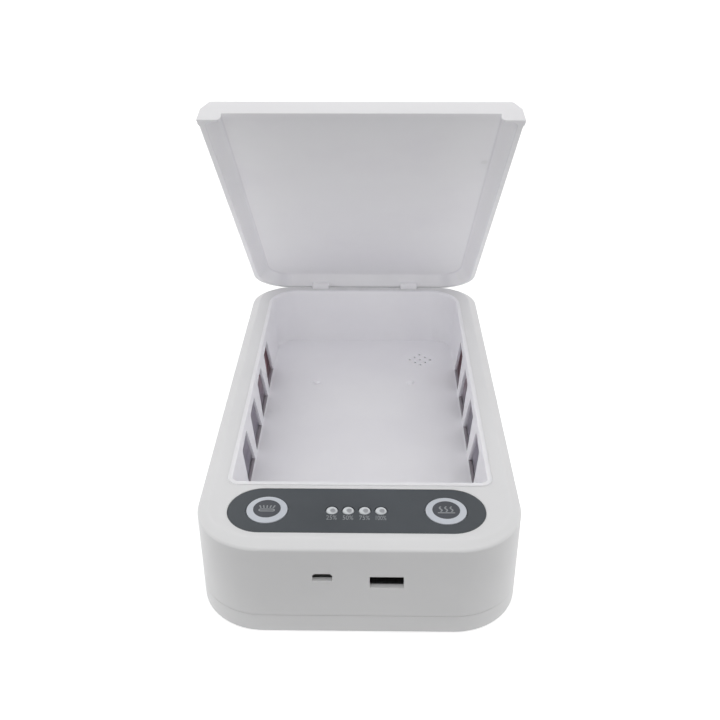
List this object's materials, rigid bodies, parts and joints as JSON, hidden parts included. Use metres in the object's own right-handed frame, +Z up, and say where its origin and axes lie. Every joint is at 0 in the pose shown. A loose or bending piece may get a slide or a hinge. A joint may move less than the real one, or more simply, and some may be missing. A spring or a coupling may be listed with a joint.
{
  "type": "uv sanitizer box for phones",
  "caption": "Box that sanitizes a phone with UV lamps: hinged lid, drafted chamber with lamp windows and aroma holes, button panel, and power sockets in the front wall.",
  "frame": {"origin": "Centre of the box's footprint, on the plane of the rubber feet's undersides; the lid is stored standing open, 44 degrees above closed.", "axes": "+X to the right of someone at the button end, +Y from the button end to the hinge, +Z up."},
  "size_m": [0.1224, 0.2248, 0.1755],
  "materials": {
    "housing_white": "satin white plastic",
    "tray_white": "satin white plastic, faintly cool",
    "lid_white": "satin white plastic",
    "panel_dark": "dark grey-blue, faintly translucent plastic",
    "button_dark": "dark grey plastic",
    "ring_pearl": "pale pearl light ring",
    "led_lens": "clear domed lens",
    "lamp_glass": "clear tube",
    "boot_brown": "dull reddish-brown rubber",
    "foot_rubber": "grey rubber",
    "socket_steel": "tin-plated steel",
    "socket_core": "black insulator",
    "screw_steel": "plated steel",
    "pin_steel": "ground steel",
    "magnet_nickel": "nickel-plated magnet",
    "board_green": "green solder mask",
    "component_black": "black moulded component",
    "capacitor_sleeve": "dark blue sleeve",
    "connector_cream": "cream nylon",
    "lead_insulation": "white wire insulation",
    "lead_wire": "tinned wire",
    "aroma_felt": "off-white felt",
    "heater_metal": "aluminium disc",
    "reflector_sheet": "satin reflector sheet"
  },
  "bodies": {
    "base": {"aroma_heater": "heater_metal", "aroma_pad": "aroma_felt", "aroma_switch": "component_black", "board_screws": "screw_steel", "bottom_cover": "housing_white", "chamber_tray": "tray_white", "control_board": "board_green", "control_panel": "panel_dark", "controller_chip": "component_black", "filter_capacitor": "capacitor_sleeve", "foot_front_left": "foot_rubber", "foot_front_right": "foot_rubber", "foot_rear_left": "foot_rubber", "foot_rear_right": "foot_rubber", "hinge_pin_left": "pin_steel", "hinge_pin_right": "pin_steel", "housing_screws": "screw_steel", "inverter_transformer": "component_black", "lamp_boot_front_left": "boot_brown", "lamp_boot_front_right": "boot_brown", "lamp_boot_rear_left": "boot_brown", "lamp_boot_rear_right": "boot_brown", "lamp_connectors": "connector_cream", "lamp_leads_left": "lead_insulation", "lamp_leads_right": "lead_insulation", "lamp_reflector_left": "reflector_sheet", "lamp_reflector_right": "reflector_sheet", "led_leads": "lead_wire", "lid_sensor": "component_black", "micro_usb_core": "socket_core", "micro_usb_shell": "socket_steel", "outer_housing": "housing_white", "progress_led_1": "led_lens", "progress_led_2": "led_lens", "progress_led_3": "led_lens", "progress_led_4": "led_lens", "sterilize_switch": "component_black", "tray_screws": "screw_steel", "usb_a_core": "socket_core", "usb_a_shell": "socket_steel", "uv_lamp_left": "lamp_glass", "uv_lamp_right": "lamp_glass"},
    "lid": {"lid_shell": "lid_white", "lid_magnet": "magnet_nickel"},
    "sterilize_button": {"sterilize_button_cap": "button_dark", "sterilize_button_ring": "ring_pearl", "sterilize_switch_plunger": "component_black"},
    "aroma_button": {"aroma_button_cap": "button_dark", "aroma_button_ring": "ring_pearl", "aroma_switch_plunger": "component_black"}
  },
  "joints": [
    {"name": "lid_hinge", "type": "hinge", "parent": "base", "child": "lid", "pos_m": [0, 0.1078, 0.0408], "axis": [-1, 0, 0], "range_deg": [-44, 46]},
    {"name": "sterilize_button_press", "type": "slide", "parent": "base", "child": "sterilize_button", "axis": [0, 0, -1], "range_m": [0, 0.0005], "stiffness_N_per_m": 600, "springref_m": -0.0005},
    {"name": "aroma_button_press", "type": "slide", "parent": "base", "child": "aroma_button", "axis": [0, 0, -1], "range_m": [0, 0.0005], "stiffness_N_per_m": 600, "springref_m": -0.0005}
  ]
}
